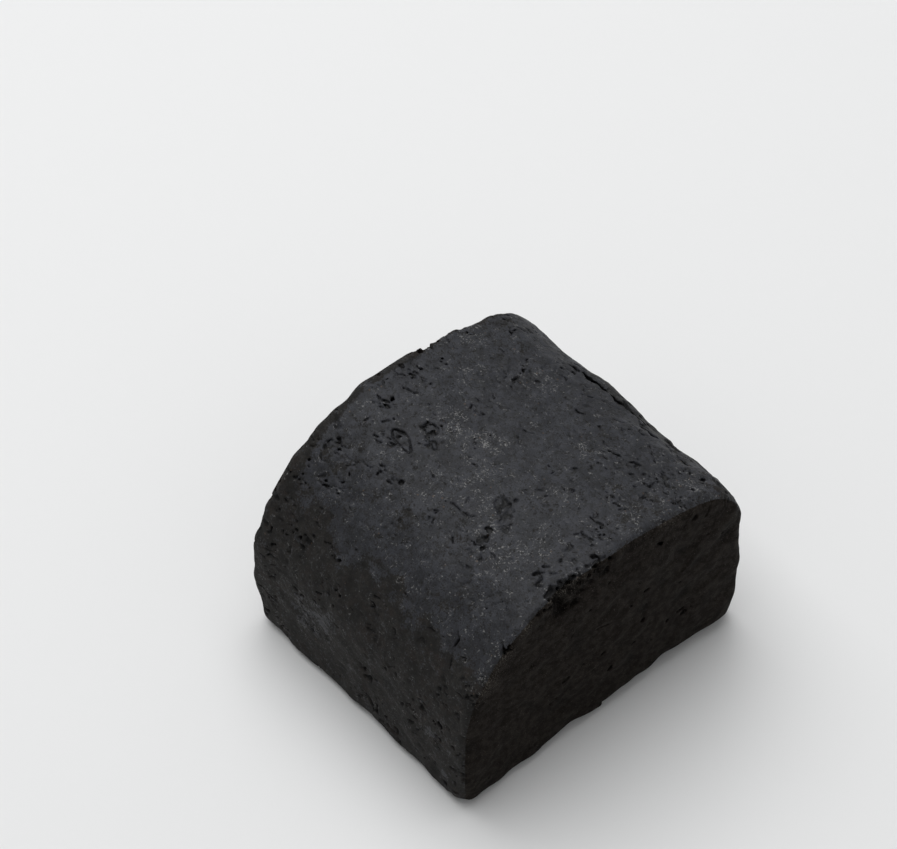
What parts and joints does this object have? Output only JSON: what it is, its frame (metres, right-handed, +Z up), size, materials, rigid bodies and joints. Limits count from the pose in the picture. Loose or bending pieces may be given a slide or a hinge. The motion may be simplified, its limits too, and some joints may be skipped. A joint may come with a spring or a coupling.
{
  "type": "charcoal block",
  "caption": "Hand-sized solid block of pressed charcoal with an arched, worn top, two flat cut ends and a flat base to rest on.",
  "frame": {"origin": "middle of the flat base, on the surface that the block rests on", "axes": "+Z up from the base to the crown of the arch, X along the arch between the two cut ends, +Y across it towards the tighter shoulder, with the broad worn shoulder at -Y"},
  "size_m": [0.057, 0.066, 0.046],
  "materials": {
    "pressed_charcoal": "matte"
  },
  "bodies": {
    "root": {"charcoal_block": "pressed_charcoal"}
  },
  "joints": []
}
